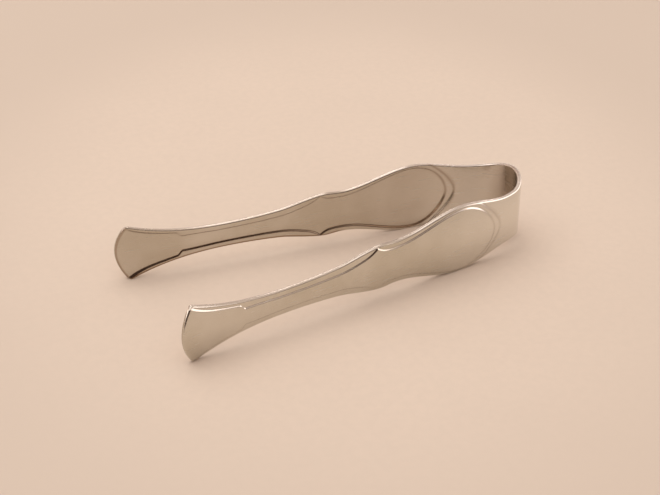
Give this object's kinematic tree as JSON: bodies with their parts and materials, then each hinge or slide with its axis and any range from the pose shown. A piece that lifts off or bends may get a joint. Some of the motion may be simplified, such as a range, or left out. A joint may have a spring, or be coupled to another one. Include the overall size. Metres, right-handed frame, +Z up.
{
  "type": "sugar tongs",
  "caption": "One-piece pressed stainless steel sugar tongs with a springy round bow, embossed oval panels, shouldered necks and fan-shaped tips, lying on their edge.",
  "frame": {"origin": "on the table, below the middle of the box round the tongs as they lie on their lower edges", "axes": "+X from the tips towards the bow, -Y towards the front arm, +Z up, across the strip's width"},
  "size_m": [0.1102, 0.0442, 0.0194],
  "materials": {
    "stainless_steel": "polished sheet, rounded edges"
  },
  "bodies": {
    "bow": {"bow": "stainless_steel"},
    "front_arm": {"front_arm": "stainless_steel"},
    "rear_arm": {"rear_arm": "stainless_steel"}
  },
  "joints": [
    {"name": "front_arm_flex", "type": "hinge", "parent": "bow", "child": "front_arm", "pos_m": [0.04834, -0.0087, 0.01015], "axis": [0.0235, 0, -0.9997], "range_deg": [-3, 11], "stiffness_Nm_per_rad": 4},
    {"name": "rear_arm_flex", "type": "hinge", "parent": "bow", "child": "rear_arm", "pos_m": [0.04834, 0.0087, 0.01015], "axis": [-0.0235, 0, 0.9997], "range_deg": [-3, 11], "stiffness_Nm_per_rad": 4}
  ]
}
